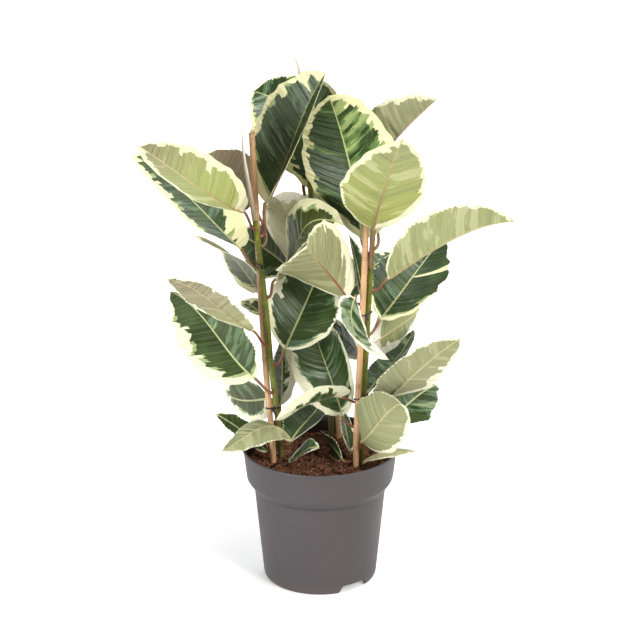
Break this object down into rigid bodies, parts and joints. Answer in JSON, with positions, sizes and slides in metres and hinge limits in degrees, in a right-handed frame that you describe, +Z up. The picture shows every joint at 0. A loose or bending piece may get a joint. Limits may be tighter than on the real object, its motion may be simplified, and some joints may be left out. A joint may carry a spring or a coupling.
{
  "type": "potted rubber plant",
  "caption": "Variegated rubber plant with broad cream-edged leaves on stems tied to bamboo canes, in a grey plastic nursery pot filled with soil.",
  "frame": {"origin": "centre of the pot's flat base, on the surface that it stands on", "axes": "+Z up along the pot's axis, -Y towards the front of the plant as pictured, +X to its right"},
  "size_m": [0.4971, 0.3794, 0.7292],
  "materials": {
    "pot_plastic": "matte",
    "potting_soil": "matte",
    "stem_bark": "satin",
    "bamboo": "satin",
    "bud_sheath": "satin",
    "tie_wire": "satin",
    "leaf": "satin"
  },
  "bodies": {
    "root": {"pot": "pot_plastic", "soil": "potting_soil", "stem_left": "stem_bark", "stem_right": "stem_bark", "stem_back": "stem_bark", "cane_left": "bamboo", "cane_right": "bamboo", "cane_back": "bamboo", "sheath_left": "bud_sheath", "sheath_right": "bud_sheath", "sheath_back": "bud_sheath", "tie_left_1": "tie_wire", "tie_left_2": "tie_wire", "tie_right_1": "tie_wire", "tie_right_2": "tie_wire", "tie_back_1": "tie_wire", "tie_back_2": "tie_wire", "leaf_left_01": "leaf", "leaf_left_02": "leaf", "leaf_left_03": "leaf", "leaf_left_04": "leaf", "leaf_left_05": "leaf", "leaf_left_06": "leaf", "leaf_left_07": "leaf", "leaf_left_08": "leaf", "leaf_left_09": "leaf", "leaf_left_10": "leaf", "leaf_left_11": "leaf", "leaf_left_12": "leaf", "leaf_left_13": "leaf", "leaf_left_14": "leaf", "leaf_left_15": "leaf", "leaf_left_16": "leaf", "leaf_left_17": "leaf", "leaf_right_01": "leaf", "leaf_right_02": "leaf", "leaf_right_03": "leaf", "leaf_right_04": "leaf", "leaf_right_05": "leaf", "leaf_right_06": "leaf", "leaf_right_07": "leaf", "leaf_right_08": "leaf", "leaf_right_09": "leaf", "leaf_right_10": "leaf", "leaf_right_11": "leaf", "leaf_right_12": "leaf", "leaf_right_13": "leaf", "leaf_right_14": "leaf", "leaf_right_15": "leaf", "leaf_right_16": "leaf", "leaf_right_17": "leaf", "leaf_right_18": "leaf", "leaf_back_01": "leaf", "leaf_back_02": "leaf", "leaf_back_03": "leaf", "leaf_back_04": "leaf", "leaf_back_05": "leaf", "leaf_back_06": "leaf", "leaf_back_07": "leaf"}
  },
  "joints": []
}
